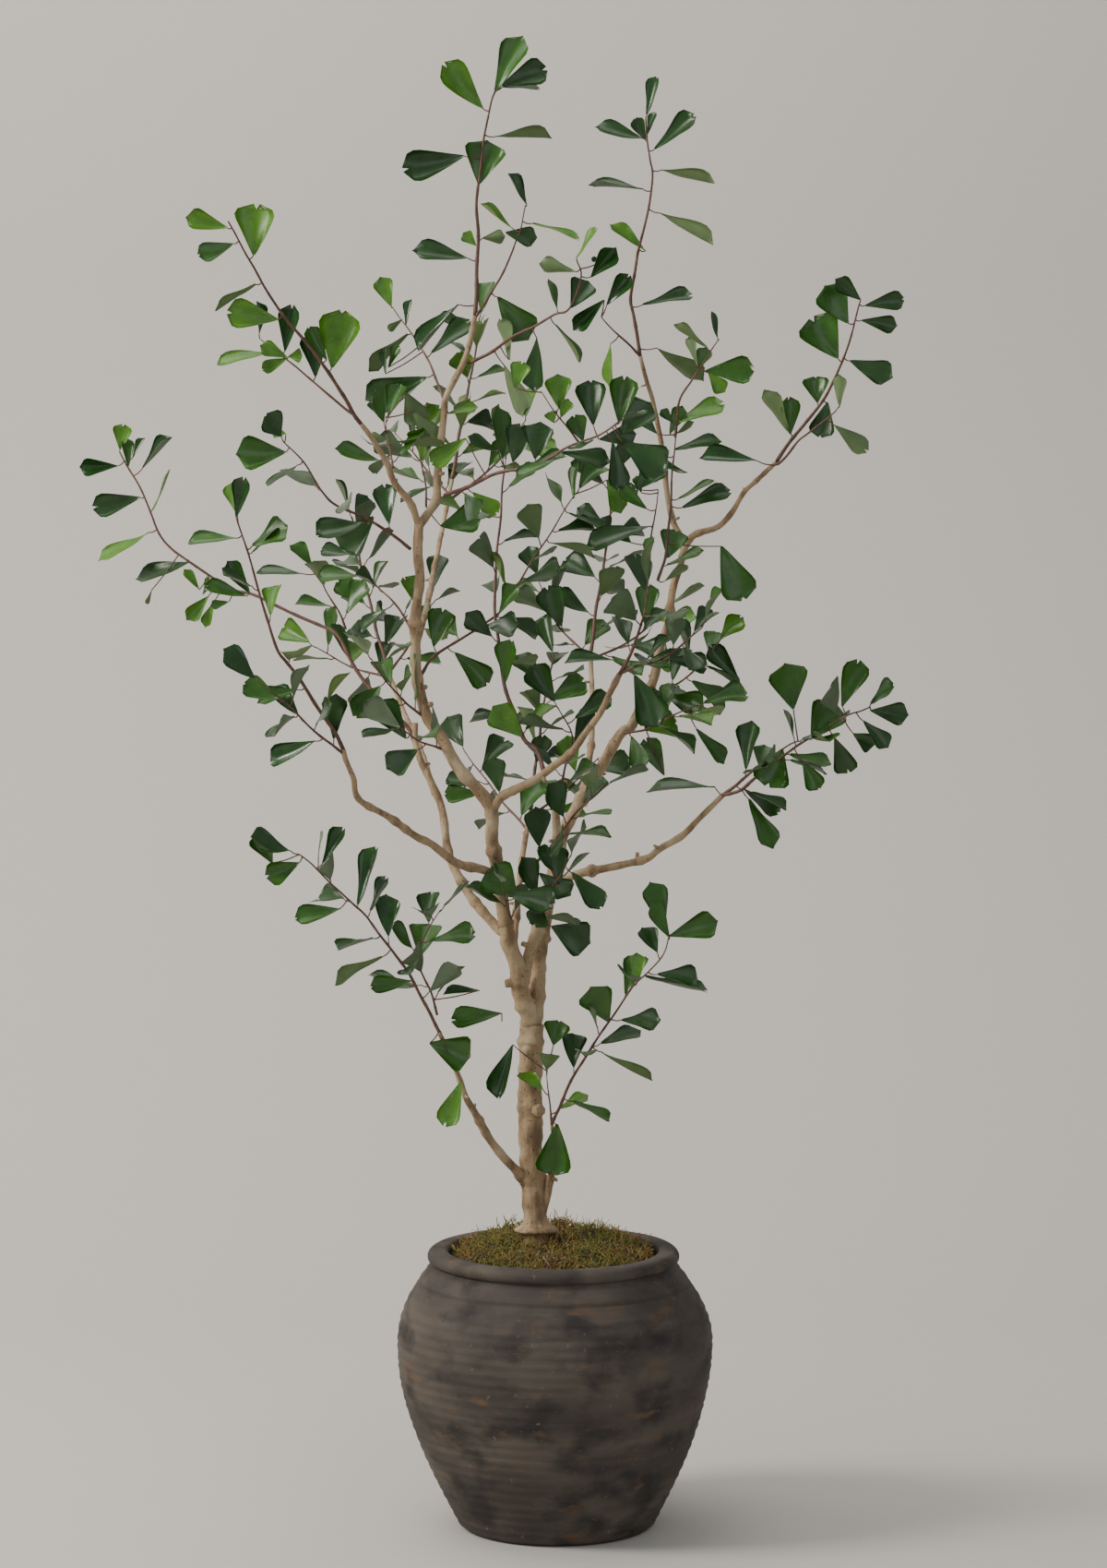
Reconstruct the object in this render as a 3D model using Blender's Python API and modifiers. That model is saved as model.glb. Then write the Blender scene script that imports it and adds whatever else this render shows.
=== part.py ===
"""Potted triangle fig: a young broadleaf tree in a hand-thrown terracotta jar.

Metres, +Z up. The origin is the centre of the jar's flat underside, on the
floor. The tree's open side is seen from -Y, with +X to the right.

Every limb is one tapering tube. It starts on the limb that carries it, ends
at its tip, and its middle leaves the straight line by a bow (one side) and a
sway (an S). Every mass of foliage is an egg-shaped lumpy solid that starts at
the end of a bough and reaches to the furthest leaf of that spray.
"""

import math

import bmesh
import bpy
import numpy as np
from mathutils import Vector
from mathutils.bvhtree import BVHTree

# ------------------------------------------------------------------ sizes
GAP = 0.0003  # clearance between pieces that touch

POT_H = 0.340  # jar, foot to lip
POT_FOOT_R = 0.118
POT_BELLY_R = 0.191
POT_BELLY_Z = 0.228
POT_NECK_R = 0.1500
POT_NECK_Z = 0.320
LIP_R = 0.1520
LIP_BORE_R = 0.1275
WALL = 0.014
FLOOR_T = 0.018

SOIL_TOP = 0.3150
MOSS_R = 0.1235
MOSS_RISE = 0.040  # height of the mound over the soil at the middle
TRUNK_X = -0.020  # the trunk stands a little left of the jar's axis

THICK_LIMB = 0.0045  # radius from which a limb has eight sides and not six
LIMB_RINGS = 7
MASS_SEGMENTS = 12
MASS_RINGS = 7

BARK = (0.42, 0.31, 0.19)
YOUNG_BARK = (0.30, 0.17, 0.10)
LEAF_GREENS = ((0.035, 0.13, 0.03), (0.05, 0.17, 0.03), (0.03, 0.10, 0.035))
CLAY = (0.105, 0.085, 0.07)
SOIL_BROWN = (0.06, 0.04, 0.025)
MOSS_OLIVE = (0.30, 0.24, 0.07)

# Limbs: name, what carries it and where along it (0 foot, 1 tip), tip, bow,
# sway, radius at the base and at the tip. The trunk starts on the soil.
LIMBS = (
    ("trunk", None, 0.0, (-0.026, 0.0, 0.610), (-0.004, 0.0, 0.0), (0.001, 0.0, 0.0), 0.0148, 0.0138),
    ("left_stem", "trunk", 1.0, (-0.057, -0.022, 0.742), (-0.002, 0.001, 0.0), (0.0, 0.001, 0.0), 0.0105, 0.0088),
    ("right_stem", "trunk", 1.0, (0.095, 0.130, 0.966), (-0.032, -0.003, 0.014), (0.004, 0.001, -0.003), 0.0098, 0.0054),
    ("inner_stem", "left_stem", 0.43, (0.003, 0.022, 0.879), (0.014, 0.005, -0.002), (-0.002, 0.0, 0.001), 0.0078, 0.0056),
    ("middle_stem", "left_stem", 1.0, (-0.076, -0.045, 0.881), (0.002, -0.004, -0.001), (0.0, -0.001, 0.0), 0.0082, 0.0066),
    ("leader", "middle_stem", 1.0, (-0.160, -0.040, 1.220), (-0.035, 0.006, -0.030), (0.004, 0.003, 0.010), 0.0062, 0.0050),
    ("upper_leader", "leader", 1.0, (-0.097, 0.020, 1.451), (-0.001, 0.001, -0.005), (0.006, 0.0, -0.002), 0.0046, 0.0030),
    ("upper_left_bough", "leader", 1.0, (-0.227, -0.100, 1.340), (0.002, 0.004, 0.002), (-0.001, 0.0, 0.0), 0.0038, 0.0026),
    ("left_rear_bough", "left_stem", 0.97, (-0.169, 0.090, 0.972), (-0.019, 0.001, -0.020), (-0.004, 0.002, -0.009), 0.0054, 0.0036),
    ("far_left_bough", "left_rear_bough", 0.97, (-0.333, 0.180, 1.108), (0.002, 0.003, 0.004), (0.002, 0.0, 0.003), 0.0032, 0.0022),
    ("left_front_bough", "middle_stem", 0.36, (-0.246, -0.152, 0.956), (-0.020, -0.002, -0.020), (0.007, 0.002, 0.001), 0.0052, 0.0036),
    ("centre_bough", "middle_stem", 0.97, (0.078, -0.130, 1.047), (0.019, -0.003, -0.010), (0.001, 0.003, 0.004), 0.0050, 0.0036),
    ("centre_rear_bough", "centre_bough", 0.34, (-0.067, 0.025, 1.082), (-0.008, 0.005, -0.008), (0.002, 0.002, -0.001), 0.0034, 0.0024),
    ("cross_bough", "upper_leader", 0.16, (-0.010, -0.100, 1.293), (0.002, 0.004, -0.004), (0.0, 0.0, 0.001), 0.0028, 0.0020),
    ("rear_right_bough", "right_stem", 1.0, (0.163, 0.190, 1.181), (0.007, 0.005, -0.004), (0.004, -0.001, -0.001), 0.0052, 0.0040),
    ("top_right_bough", "rear_right_bough", 1.0, (0.115, 0.200, 1.389), (-0.002, 0.005, -0.001), (-0.004, 0.001, -0.001), 0.0034, 0.0024),
    ("right_top_bough", "rear_right_bough", 0.96, (0.248, 0.120, 1.268), (0.003, 0.004, -0.002), (-0.001, 0.0, 0.002), 0.0038, 0.0030),
    ("right_low_bough", "inner_stem", 0.58, (0.201, -0.080, 0.899), (0.013, 0.006, -0.020), (0.0, 0.004, 0.001), 0.0046, 0.0032),
    ("low_left_shoot", "trunk", 0.35, (-0.110, -0.088, 0.561), (-0.006, -0.006, -0.008), (-0.002, 0.001, 0.0), 0.0052, 0.0030),
    ("low_right_shoot", "trunk", 0.29, (0.011, -0.060, 0.537), (0.007, -0.001, -0.002), (0.007, 0.001, -0.001), 0.0046, 0.0022),
    ("back_high_bough", "leader", 0.60, (-0.128, 0.270, 1.266), (0.0, 0.013, -0.020), (0.002, -0.004, 0.003), 0.0040, 0.0026),
    ("back_low_bough", "left_stem", 0.68, (-0.029, 0.220, 0.851), (-0.004, 0.005, -0.004), (0.0, 0.001, -0.001), 0.0048, 0.0030),
    ("back_left_bough", "left_rear_bough", 0.69, (-0.209, 0.260, 1.029), (0.005, 0.006, -0.007), (0.002, -0.001, 0.001), 0.0038, 0.0026),
    ("back_right_bough", "right_stem", 0.72, (0.047, 0.300, 1.044), (0.009, 0.005, -0.008), (0.001, 0.001, -0.001), 0.0042, 0.0028),
)

# Masses of foliage: name, the bough whose end it takes (or None), base where
# there is no bough end, furthest leaf, how far the middle is bowed, girth
# radius, radius front to back, skew (above 0 it is fuller at its far end).
STRAIGHT = (0.0, 0.0, 0.0)
MASSES = (
    ("top_foliage", "upper_leader", None, (-0.046, 0.030, 1.802), (-0.016, 0.0, 0.0), 0.072, 0.062, 0.08),
    ("top_right_foliage", "top_right_bough", None, (0.128, 0.165, 1.760), STRAIGHT, 0.060, 0.056, 0.12),
    ("right_top_foliage", "right_top_bough", None, (0.418, 0.020, 1.490), (-0.014, 0.0, 0.012), 0.064, 0.060, 0.15),
    ("upper_left_foliage", "upper_left_bough", None, (-0.412, -0.190, 1.592), (0.010, 0.0, 0.012), 0.072, 0.064, -0.10),
    ("upper_middle_foliage", None, (-0.150, 0.035, 1.315), (-0.206, 0.090, 1.518), STRAIGHT, 0.052, 0.056, 0.0),
    ("centre_upper_foliage", None, (-0.085, 0.020, 1.315), (0.043, -0.080, 1.564), STRAIGHT, 0.068, 0.062, 0.05),
    ("right_upper_foliage", "cross_bough", None, (0.205, 0.010, 1.465), (0.0, 0.0, -0.004), 0.088, 0.076, 0.05),
    ("right_inner_foliage", None, (0.158, 0.165, 1.195), (0.236, 0.135, 1.370), (0.010, 0.0, -0.008), 0.060, 0.062, 0.0),
    ("left_upper_foliage", None, (-0.172, -0.062, 1.175), (-0.372, -0.150, 1.320), STRAIGHT, 0.070, 0.064, 0.05),
    ("far_left_foliage", "far_left_bough", None, (-0.596, 0.250, 1.305), (-0.008, 0.0, -0.010), 0.060, 0.056, 0.0),
    ("left_middle_foliage", "left_rear_bough", None, (-0.338, 0.060, 1.175), STRAIGHT, 0.078, 0.066, -0.10),
    ("left_outer_foliage", "left_front_bough", None, (-0.378, -0.225, 1.098), (0.004, 0.0, 0.004), 0.070, 0.064, 0.0),
    ("centre_foliage", "centre_rear_bough", None, (0.0, 0.100, 1.269), (-0.012, 0.0, 0.0), 0.074, 0.064, -0.10),
    ("right_front_foliage", "centre_bough", None, (0.185, -0.185, 1.195), STRAIGHT, 0.070, 0.064, 0.0),
    ("right_middle_foliage", None, (0.105, 0.085, 0.925), (0.225, 0.080, 1.085), STRAIGHT, 0.062, 0.060, 0.0),
    ("right_low_foliage", "right_low_bough", None, (0.430, -0.180, 1.022), (0.0, 0.0, 0.012), 0.068, 0.062, 0.08),
    ("centre_low_foliage", None, (-0.036, -0.100, 0.725), (0.064, -0.075, 0.936), STRAIGHT, 0.074, 0.050, 0.0),
    ("low_left_inner_foliage", None, (-0.100, -0.120, 0.662), (-0.162, -0.092, 0.812), STRAIGHT, 0.052, 0.046, 0.0),
    ("low_left_foliage", "low_left_shoot", None, (-0.348, -0.200, 0.870), STRAIGHT, 0.050, 0.048, -0.15),
    ("low_right_foliage", "low_right_shoot", None, (0.200, -0.150, 0.779), (-0.008, 0.0, 0.008), 0.055, 0.050, -0.12),
    ("back_high_foliage", "back_high_bough", None, (-0.094, 0.350, 1.500), STRAIGHT, 0.078, 0.084, 0.0),
    ("back_low_foliage", "back_low_bough", None, (0.0, 0.330, 1.065), STRAIGHT, 0.072, 0.082, 0.0),
    ("back_left_foliage", "back_left_bough", None, (-0.270, 0.355, 1.255), STRAIGHT, 0.074, 0.082, 0.0),
    ("back_right_foliage", "back_right_bough", None, (0.085, 0.380, 1.290), STRAIGHT, 0.075, 0.084, 0.0),
)
SOCKET = 0.016  # how far a bough's end goes into its mass


# ---------------------------------------------------------------- helpers
for old in list(bpy.data.objects):
    bpy.data.objects.remove(old, do_unlink=True)

parts = bpy.data.collections.new("potted_triangle_fig")
bpy.context.scene.collection.children.link(parts)
root = bpy.data.objects.new("plant_and_jar", None)
parts.objects.link(root)


def material(name, colour, roughness, metallic=0.0):
    made = bpy.data.materials.new(name)
    made.use_nodes = True
    shader = made.node_tree.nodes["Principled BSDF"]
    shader.inputs["Base Color"].default_value = (*colour, 1.0)
    shader.inputs["Roughness"].default_value = roughness
    shader.inputs["Metallic"].default_value = metallic
    made.diffuse_color = (*colour, 1.0)
    return made


def place(name, mesh, finish, smooth=40.0):
    """The mesh as a named part with its finish, under the plant's empty."""
    obj = bpy.data.objects.new(name, mesh)
    mesh.name = name
    mesh.materials.clear()
    mesh.materials.append(finish)
    mesh.shade_smooth()
    mesh.set_sharp_from_angle(angle=math.radians(smooth))
    parts.objects.link(obj)
    obj.parent = root
    return obj


def evaluated_mesh(obj):
    bpy.context.view_layer.update()
    graph = bpy.context.evaluated_depsgraph_get()
    return bpy.data.meshes.new_from_object(obj.evaluated_get(graph))


def tidy(mesh, merge=1e-5):
    bm = bmesh.new()
    bm.from_mesh(mesh)
    bmesh.ops.remove_doubles(bm, verts=bm.verts, dist=merge)
    bmesh.ops.triangulate(bm, faces=bm.faces)
    bmesh.ops.recalc_face_normals(bm, faces=bm.faces)
    bm.to_mesh(mesh)
    bm.free()
    return mesh


def largest_body(mesh):
    """Drops the loose crumbs that a cut can leave beside the main body."""
    bm = bmesh.new()
    bm.from_mesh(mesh)
    left, bodies = set(bm.verts), []
    while left:
        stack, body = [left.pop()], set()
        while stack:
            vert = stack.pop()
            body.add(vert)
            for edge in vert.link_edges:
                other = edge.other_vert(vert)
                if other in left:
                    left.discard(other)
                    stack.append(other)
        bodies.append(body)
    bodies.sort(key=len)
    for body in bodies[:-1]:
        bmesh.ops.delete(bm, geom=list(body), context="VERTS")
    bm.to_mesh(mesh)
    bm.free()
    return mesh


def touching(first, second):
    trees = []
    for mesh in (first, second):
        bm = bmesh.new()
        bm.from_mesh(mesh)
        trees.append(BVHTree.FromBMesh(bm))
        bm.free()
    return bool(trees[0].overlap(trees[1]))


def cut(mesh, cutter):
    """The mesh less the cutter, by an exact Boolean."""
    body = bpy.data.objects.new("body", mesh)
    tool = bpy.data.objects.new("tool", cutter)
    bpy.context.scene.collection.objects.link(body)
    bpy.context.scene.collection.objects.link(tool)
    step = body.modifiers.new("cut", "BOOLEAN")
    step.operation = "DIFFERENCE"
    step.object = tool
    step.solver = "EXACT"
    result = evaluated_mesh(body)
    bpy.data.objects.remove(body, do_unlink=True)
    bpy.data.objects.remove(tool, do_unlink=True)
    return largest_body(tidy(result))


# ------------------------------------------------------------------ limbs
def centre_line(base, tip, bow, sway, count=LIMB_RINGS):
    """Points from base to tip, bowed to one side and swayed like an S."""
    t = np.linspace(0.0, 1.0, count)[:, None]
    base, tip, bow, sway = (np.array(v, float) for v in (base, tip, bow, sway))
    return base + (tip - base) * t + 4 * t * (1 - t) * bow + np.sin(2 * math.pi * t) * sway


def tube_mesh(points, radii):
    """A round tube along the points, one radius for each, capped flat."""
    curve = bpy.data.curves.new("limb", "CURVE")
    curve.dimensions = "3D"
    curve.bevel_depth = 1.0
    curve.bevel_resolution = 2 if radii[0] > THICK_LIMB else 1
    curve.use_fill_caps = True
    spline = curve.splines.new("POLY")
    spline.points.add(len(points) - 1)
    for point, where, radius in zip(spline.points, points, radii):
        point.co = (*where, 1.0)
        point.radius = radius
    obj = bpy.data.objects.new("limb", curve)
    bpy.context.scene.collection.objects.link(obj)
    mesh = tidy(evaluated_mesh(obj))
    bpy.data.objects.remove(obj, do_unlink=True)
    return mesh


def limb_radii(first, last, count=LIMB_RINGS, flare=0.0):
    t = np.linspace(0.0, 1.0, count)
    swell = 1 + 0.45 * np.exp(-t / 0.05) * (flare > 0)
    return (first + (last - first) * t) * swell


lines, limb_meshes, limb_fat = {}, {}, {}
for name, parent, along, tip, bow, sway, first, last in LIMBS:
    if parent is None:
        base = np.array((TRUNK_X, 0.0, SOIL_TOP + GAP))
    else:
        carrier = lines[parent]
        stations = np.linspace(0.0, 1.0, len(carrier))
        base = np.array([np.interp(along, stations, carrier[:, k]) for k in range(3)])
    line = centre_line(base, tip, bow, sway)
    lines[name] = centre_line(base, tip, bow, sway, 101)
    radii = limb_radii(first, last, flare=parent is None)
    if parent is None:
        # the foot is cut flat and level
        line[1, :2] = line[0, :2] + (line[1, :2] - line[0, :2]) * 0.5
    mesh = tube_mesh(line, radii)
    if parent is None:
        for vert in mesh.vertices:
            if vert.co.z < SOIL_TOP + 0.004:
                vert.co.z = SOIL_TOP + GAP
    for other, fat in limb_fat.items():
        if touching(mesh, fat):
            mesh = cut(mesh, fat.copy())
    limb_meshes[name] = mesh
    limb_fat[name] = tube_mesh(line, radii + GAP * 1.3)

bark = material("bark", BARK, 0.75)
young_bark = material("young_bark", YOUNG_BARK, 0.6)
for name, *_, first, last in LIMBS:
    place(name, limb_meshes[name], bark if first > THICK_LIMB else young_bark)


# ---------------------------------------------------------------- foliage
def lumps(seed):
    """A few soft waves round a ball, their directions drawn from the seed."""
    rng = np.random.default_rng(seed)
    waves = []
    for scale, height in ((2.2, 0.10), (3.6, 0.08), (5.5, 0.05)):
        for _ in range(2):
            way = rng.normal(size=3)
            waves.append((way / np.linalg.norm(way) * scale, rng.uniform(0, 6.28), height))
    return lambda v: 1 + sum(h * math.sin(float(np.dot(w, v)) + p) for w, p, h in waves)


def swollen(mesh, by):
    """A copy of the mesh with each point moved out along its normal."""
    copy = mesh.copy()
    for vert, source in zip(copy.vertices, mesh.vertices):
        vert.co = source.co + source.normal * by
    return copy


def mass_mesh(base, tip, bow, girth, deep, skew, seed):
    """An egg from base to tip, lumpy round its sides, its two ends kept."""
    base, tip, bow = Vector(base), Vector(tip), Vector(bow)
    axis = (tip - base).normalized()
    half = (tip - base).length / 2
    across = axis.cross(Vector((0, 1, 0))).normalized()
    away = axis.cross(across).normalized()
    lump = lumps(seed)
    bm = bmesh.new()
    bmesh.ops.create_uvsphere(bm, u_segments=MASS_SEGMENTS, v_segments=MASS_RINGS, radius=1.0)
    middle = (base + tip) / 2
    for vert in bm.verts:
        v = vert.co.copy()
        side = (1 + skew * v.z) * lump(v)
        vert.co = (
            middle
            + axis * (v.z * half)
            + bow * (1 - v.z * v.z)
            + across * (v.x * girth * side)
            + away * (v.y * deep * side)
        )
    bmesh.ops.triangulate(bm, faces=bm.faces)
    bmesh.ops.recalc_face_normals(bm, faces=bm.faces)
    mesh = bpy.data.meshes.new("mass")
    bm.to_mesh(mesh)
    bm.free()
    return mesh


MASS_GAP = 0.003
leaf_finish = [material(f"foliage_{i}", colour, 0.5) for i, colour in enumerate(LEAF_GREENS)]
mass_fat = {}
for number, (name, bough, base, tip, bow, girth, deep, skew) in enumerate(MASSES):
    if bough:
        line = lines[bough]
        heading = line[-1] - line[-8]
        base = line[-1] - heading / np.linalg.norm(heading) * SOCKET
    seed = 40 + number
    whole = mass_mesh(base, tip, bow, girth, deep, skew, seed)
    mesh = whole.copy()
    for other, fat in mass_fat.items():
        if touching(mesh, fat):
            mesh = cut(mesh, fat.copy())
    for other, fat in limb_fat.items():
        if touching(mesh, fat):
            mesh = cut(mesh, fat.copy())
    mass_fat[name] = swollen(whole, MASS_GAP)
    place(name, mesh, leaf_finish[number % len(leaf_finish)])


# -------------------------------------------------------------------- jar
def jar_radius(z):
    """Outer radius of the body: a quarter wave up to the belly, one over it."""
    if z <= POT_BELLY_Z:
        rise = math.sin(math.pi / 2 * z / POT_BELLY_Z)
        return POT_FOOT_R + (POT_BELLY_R - POT_FOOT_R) * rise
    rise = (z - POT_BELLY_Z) / (POT_NECK_Z - POT_BELLY_Z)
    return POT_NECK_R + (POT_BELLY_R - POT_NECK_R) * math.cos(math.pi / 2 * min(rise, 1.0)) ** 0.9


def turned(name, profile, steps, finish):
    mesh = bpy.data.meshes.new(name)
    mesh.from_pydata([(r, 0.0, z) for r, z in profile], [(i, i + 1) for i in range(len(profile) - 1)], [])
    obj = bpy.data.objects.new(name, mesh)
    parts.objects.link(obj)
    obj.parent = root
    screw = obj.modifiers.new("turn", "SCREW")
    screw.steps = screw.render_steps = steps
    screw.use_merge_vertices = True
    screw.merge_threshold = 0.00005
    screw.use_smooth_shade = True
    mesh.materials.append(finish)
    return obj


def inner_radius(z):
    return jar_radius(z) - WALL


inside = [(0.0, FLOOR_T), (inner_radius(FLOOR_T) - 0.006, FLOOR_T)]
inside += [(inner_radius(z), z) for z in (0.030, 0.080, 0.140, 0.200, 0.250, 0.290)]
inside += [(LIP_BORE_R, 0.316), (LIP_BORE_R, POT_H - 0.004)]
lip = [
    (LIP_BORE_R + 0.003, POT_H),
    (LIP_R - 0.005, POT_H),
    (LIP_R, POT_H - 0.004),
    (LIP_R, POT_H - 0.010),
    (LIP_R - 0.003, POT_H - 0.014),
]
outside = [(jar_radius(z), z) for z in (0.318, 0.305, 0.286, 0.260, 0.228, 0.185, 0.140, 0.095, 0.050, 0.008)]
outside += [(POT_FOOT_R - 0.002, 0.0), (0.0, 0.0)]
clay = material("weathered_terracotta", CLAY, 0.9)
turned("pot", inside + lip + outside, 26, clay)

soil_profile = [(0.0, SOIL_TOP), (LIP_BORE_R - 2 * GAP, SOIL_TOP)]
soil_profile += [(inner_radius(z) - 0.0022, z) for z in (0.290, 0.250, 0.200, 0.140, 0.080, 0.032)]
soil_profile += [(inner_radius(FLOOR_T) - 0.010, FLOOR_T + GAP), (0.0, FLOOR_T + GAP)]
turned("soil", soil_profile, 26, material("potting_soil", SOIL_BROWN, 0.95))

# The moss is a low uneven mound that closes the mouth round the trunk's foot.
mound = [(0.0, SOIL_TOP + MOSS_RISE)]
mound += [(MOSS_R * f, SOIL_TOP + MOSS_RISE * (1 - 0.30 * f**3)) for f in (0.3, 0.55, 0.78, 0.93)]
mound += [(MOSS_R, SOIL_TOP + 0.012), (MOSS_R, SOIL_TOP + GAP), (0.0, SOIL_TOP + GAP)]
moss_tool = turned("moss_blank", mound, 20, clay)
moss_mesh = tidy(evaluated_mesh(moss_tool))
bpy.data.objects.remove(moss_tool, do_unlink=True)
wave = lumps(7)
for vert in moss_mesh.vertices:
    if vert.co.z > SOIL_TOP + 0.015:
        spot = np.array((vert.co.x, vert.co.y, 0.0)) / 0.03
        inward = 1 - vert.co.xy.length / MOSS_R
        vert.co.z += 0.020 * (wave(spot) - 1.0) + 0.10 * vert.co.y * min(1.0, 3 * inward)
trunk_tool = swollen(limb_meshes["trunk"], 0.0012)
place("moss", cut(moss_mesh, trunk_tool), material("dry_moss", MOSS_OLIVE, 0.95))
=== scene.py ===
import math

import bpy
import numpy as np
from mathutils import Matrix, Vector


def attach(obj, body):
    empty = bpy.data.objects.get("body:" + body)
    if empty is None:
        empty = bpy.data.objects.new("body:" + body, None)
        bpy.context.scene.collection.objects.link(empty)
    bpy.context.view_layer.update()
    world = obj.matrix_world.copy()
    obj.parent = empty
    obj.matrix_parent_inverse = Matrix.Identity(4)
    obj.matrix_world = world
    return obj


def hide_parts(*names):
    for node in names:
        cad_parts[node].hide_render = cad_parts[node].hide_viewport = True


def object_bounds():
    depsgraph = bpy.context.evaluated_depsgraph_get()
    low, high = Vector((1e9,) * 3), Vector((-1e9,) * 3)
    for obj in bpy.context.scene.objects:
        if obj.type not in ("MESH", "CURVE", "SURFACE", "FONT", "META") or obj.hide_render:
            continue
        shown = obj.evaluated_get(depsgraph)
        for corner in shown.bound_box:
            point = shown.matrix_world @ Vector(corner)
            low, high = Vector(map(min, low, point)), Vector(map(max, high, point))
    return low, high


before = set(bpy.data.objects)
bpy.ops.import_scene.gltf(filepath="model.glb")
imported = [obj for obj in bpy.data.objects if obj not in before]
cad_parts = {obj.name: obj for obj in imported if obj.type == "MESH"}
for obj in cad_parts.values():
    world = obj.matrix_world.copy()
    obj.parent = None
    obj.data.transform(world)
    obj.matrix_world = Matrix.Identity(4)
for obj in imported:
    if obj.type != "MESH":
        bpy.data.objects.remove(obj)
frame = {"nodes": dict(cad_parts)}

CAD_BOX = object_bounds()
rng = np.random.default_rng(11)
NODES = list(frame["nodes"])
FOLIAGE = [n for n in NODES if n.endswith("_foliage")]
LIMBS = [n for n in NODES if n not in FOLIAGE and n not in ("pot", "soil", "moss")]

# ------------------------------------------------------------------ camera
W, H = 1200, 1699
LENS = 105.24
EYE = np.array((0.0, -5.5, 1.385))
AIM = np.array((0.0, 0.0, 0.906))
FWD = (AIM - EYE) / np.linalg.norm(AIM - EYE)
RIGHT = np.cross(FWD, (0, 0, 1)); RIGHT /= np.linalg.norm(RIGHT)
UP = np.cross(RIGHT, FWD)
FPX = LENS / 36 * H


def at(u, v, y):
    """The point of the photograph's line of sight through a pixel, at a depth."""
    d = FWD * FPX + RIGHT * (u - W / 2) + UP * (H / 2 - v)
    return EYE + d * ((y - EYE[1]) / d[1])


cam = bpy.data.cameras.new("camera")
cam.lens, cam.sensor_width = LENS, 36
eye = bpy.data.objects.new("camera", cam)
eye.location = EYE
eye.rotation_euler = Vector(FWD).to_track_quat("-Z", "Y").to_euler()
bpy.context.scene.collection.objects.link(eye)
bpy.context.scene.camera = eye


# --------------------------------------------------------------- materials
def mat(name, base, rough=0.6, spots=(), bump=None, spec=0.5):
    """Principled finish; spots are (noise scale, colour, low, high) layers."""
    m = bpy.data.materials.new(name)
    m.use_nodes = True
    nt = m.node_tree
    sh = nt.nodes["Principled BSDF"]
    sh.inputs["Base Color"].default_value = (*base, 1)
    sh.inputs["Roughness"].default_value = rough
    sh.inputs["Specular IOR Level"].default_value = spec
    co = nt.nodes.new("ShaderNodeTexCoord")
    last = None
    for scale, colour, low, high, stretch in spots:
        mp = nt.nodes.new("ShaderNodeMapping")
        mp.inputs["Scale"].default_value = stretch
        nt.links.new(co.outputs["Object"], mp.inputs["Vector"])
        no = nt.nodes.new("ShaderNodeTexNoise")
        no.inputs["Scale"].default_value = scale
        no.inputs["Detail"].default_value = 5
        nt.links.new(mp.outputs["Vector"], no.inputs["Vector"])
        rp = nt.nodes.new("ShaderNodeValToRGB")
        rp.color_ramp.elements[0].position = low
        rp.color_ramp.elements[1].position = high
        nt.links.new(no.outputs["Fac"], rp.inputs["Fac"])
        mx = nt.nodes.new("ShaderNodeMix")
        mx.data_type = "RGBA"
        nt.links.new(rp.outputs["Color"], mx.inputs["Factor"])
        if last is None:
            mx.inputs[6].default_value = (*base, 1)
        else:
            nt.links.new(last, mx.inputs[6])
        mx.inputs[7].default_value = (*colour, 1)
        last = mx.outputs[2]
    if last is not None:
        nt.links.new(last, sh.inputs["Base Color"])
    if bump:
        scale, strength, dist, stretch = bump
        mp = nt.nodes.new("ShaderNodeMapping")
        mp.inputs["Scale"].default_value = stretch
        nt.links.new(co.outputs["Object"], mp.inputs["Vector"])
        no = nt.nodes.new("ShaderNodeTexNoise")
        no.inputs["Scale"].default_value = scale
        no.inputs["Detail"].default_value = 6
        nt.links.new(mp.outputs["Vector"], no.inputs["Vector"])
        bp = nt.nodes.new("ShaderNodeBump")
        bp.inputs["Strength"].default_value = strength
        bp.inputs["Distance"].default_value = dist
        nt.links.new(no.outputs["Fac"], bp.inputs["Height"])
        nt.links.new(bp.outputs["Normal"], sh.inputs["Normal"])
    return m


ONE = (1, 1, 1)


def leaf_mats(key, top, under, rough):
    vein = tuple(c * 1.35 for c in top)
    return (
        mat("leaf_top_" + key, top, rough, [(60, tuple(c * 0.72 for c in top), 0.4, 0.65, ONE), (240, vein, 0.55, 0.75, ONE)], (420, 0.25, 0.0004, ONE)),
        mat("leaf_under_" + key, under, 0.55, [(60, tuple(c * 0.8 for c in under), 0.4, 0.7, ONE)], (500, 0.2, 0.0003, ONE)),
    )


# Leaf tints are painted light and shade: bright stands for lit and backlit leaves, mid and dark for leaves in shade
# towards the right, each with a matching underside tint; gloss is a dark tint with lower roughness.
LEAF_LIGHT_SHADE_TINTS = {
    "y": leaf_mats("bright", (0.075, 0.215, 0.008), (0.15, 0.24, 0.06), 0.38),
    "u": leaf_mats("mid", (0.030, 0.110, 0.006), (0.115, 0.185, 0.065), 0.34),
    "d": leaf_mats("dark", (0.014, 0.058, 0.006), (0.085, 0.135, 0.060), 0.34),
    "g": leaf_mats("gloss", (0.018, 0.068, 0.012), (0.12, 0.17, 0.09), 0.24),
}
BARK = mat("bark_tan", (0.36, 0.25, 0.135), 0.72, [(70, (0.20, 0.125, 0.065), 0.45, 0.62, (1, 1, 0.35)), (300, (0.07, 0.042, 0.025), 0.60, 0.70, ONE), (25, (0.46, 0.36, 0.22), 0.5, 0.7, ONE)], (260, 0.7, 0.0015, (1, 1, 0.4)))
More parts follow.
